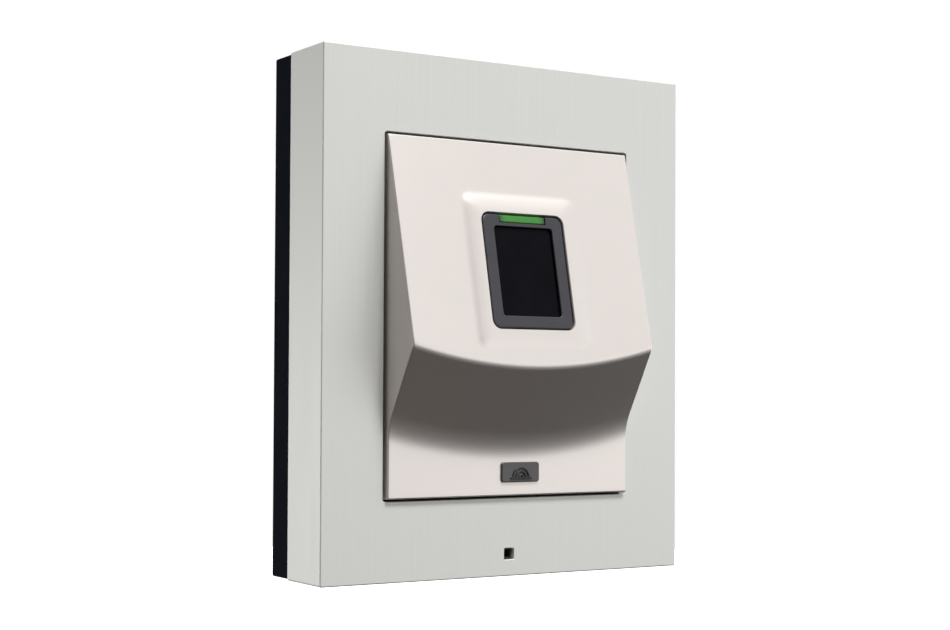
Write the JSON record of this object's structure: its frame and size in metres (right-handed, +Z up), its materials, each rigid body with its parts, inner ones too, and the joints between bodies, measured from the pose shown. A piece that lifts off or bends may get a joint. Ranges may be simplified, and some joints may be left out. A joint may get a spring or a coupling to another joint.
{
  "type": "fingerprint scanner terminal",
  "caption": "Wall-mounted access terminal: thin back plate, brushed metal box frame and a wedge-shaped reader with a tilted finger window, status light and arched chin.",
  "frame": {"origin": "centre of the rear face that rests on the wall", "axes": "+Z up, +X to the right seen from the front, +Y into the wall"},
  "size_m": [0.107, 0.0407, 0.13],
  "materials": {
    "frame_metal": "vertical brushed satin",
    "back_plastic": "fine moulded texture",
    "shell_plastic": "satin, warm white",
    "slate_plastic": "satin, dark slate",
    "rubber": "matte",
    "window_glass": "polished, near black",
    "optical_glass": "polished, clear",
    "light_plastic": "glowing green, translucent",
    "badge_grey": "satin grey",
    "badge_dark": "dark print",
    "board_green": "solder mask",
    "chip_black": "moulded epoxy",
    "steel": "zinc plated",
    "white_plastic": "plain",
    "terminal_green": "plain",
    "ribbon_amber": "polyimide film"
  },
  "bodies": {
    "root": {"back_plate": "back_plastic", "badge": "badge_grey", "badge_emblem": "badge_dark", "bezel_seal": "rubber", "board_screw_1": "steel", "board_screw_2": "steel", "board_screw_3": "steel", "board_screw_4": "steel", "bus_header": "chip_black", "bus_socket": "white_plastic", "buzzer": "chip_black", "cable_grommet": "rubber", "capacitor_1": "steel", "capacitor_2": "steel", "chassis_screw_1": "steel", "chassis_screw_2": "steel", "chassis_screw_3": "steel", "chassis_screw_4": "steel", "flash_memory": "chip_black", "frame_screw_1": "steel", "frame_screw_2": "steel", "frame_seal": "rubber", "front_frame": "frame_metal", "image_sensor": "chip_black", "light_guide": "light_plastic", "light_sensor": "chip_black", "main_board": "board_green", "module_screw_1": "steel", "module_screw_2": "steel", "module_screw_3": "steel", "module_screw_4": "steel", "network_chip": "chip_black", "network_terminal": "terminal_green", "port_sleeve": "rubber", "power_inductor": "chip_black", "power_terminal": "terminal_green", "processor": "chip_black", "reader_bezel": "shell_plastic", "reader_board": "board_green", "reader_chassis": "back_plastic", "reader_processor": "chip_black", "relay": "white_plastic", "relay_terminal": "terminal_green", "reset_switch": "chip_black", "sensor_board": "board_green", "sensor_glass": "window_glass", "sensor_holder": "back_plastic", "sensor_prism": "optical_glass", "sensor_ribbon": "ribbon_amber", "sensor_ring": "slate_plastic", "sensor_screw_1": "steel", "sensor_screw_2": "steel", "status_led_1": "white_plastic", "status_led_2": "white_plastic", "tamper_switch": "chip_black", "wall_gasket": "rubber"},
    "tamper_plunger": {"tamper_plunger": "white_plastic"},
    "reset_button": {"reset_button": "white_plastic"}
  },
  "joints": [
    {"name": "tamper_press", "type": "slide", "parent": "root", "child": "tamper_plunger", "axis": [0, 1, 0], "range_m": [0, 0.001], "stiffness_N_per_m": 300, "springref_m": -0.003},
    {"name": "reset_press", "type": "slide", "parent": "root", "child": "reset_button", "axis": [0, 1, 0], "range_m": [0, 0.0005], "stiffness_N_per_m": 600, "springref_m": -0.001}
  ]
}
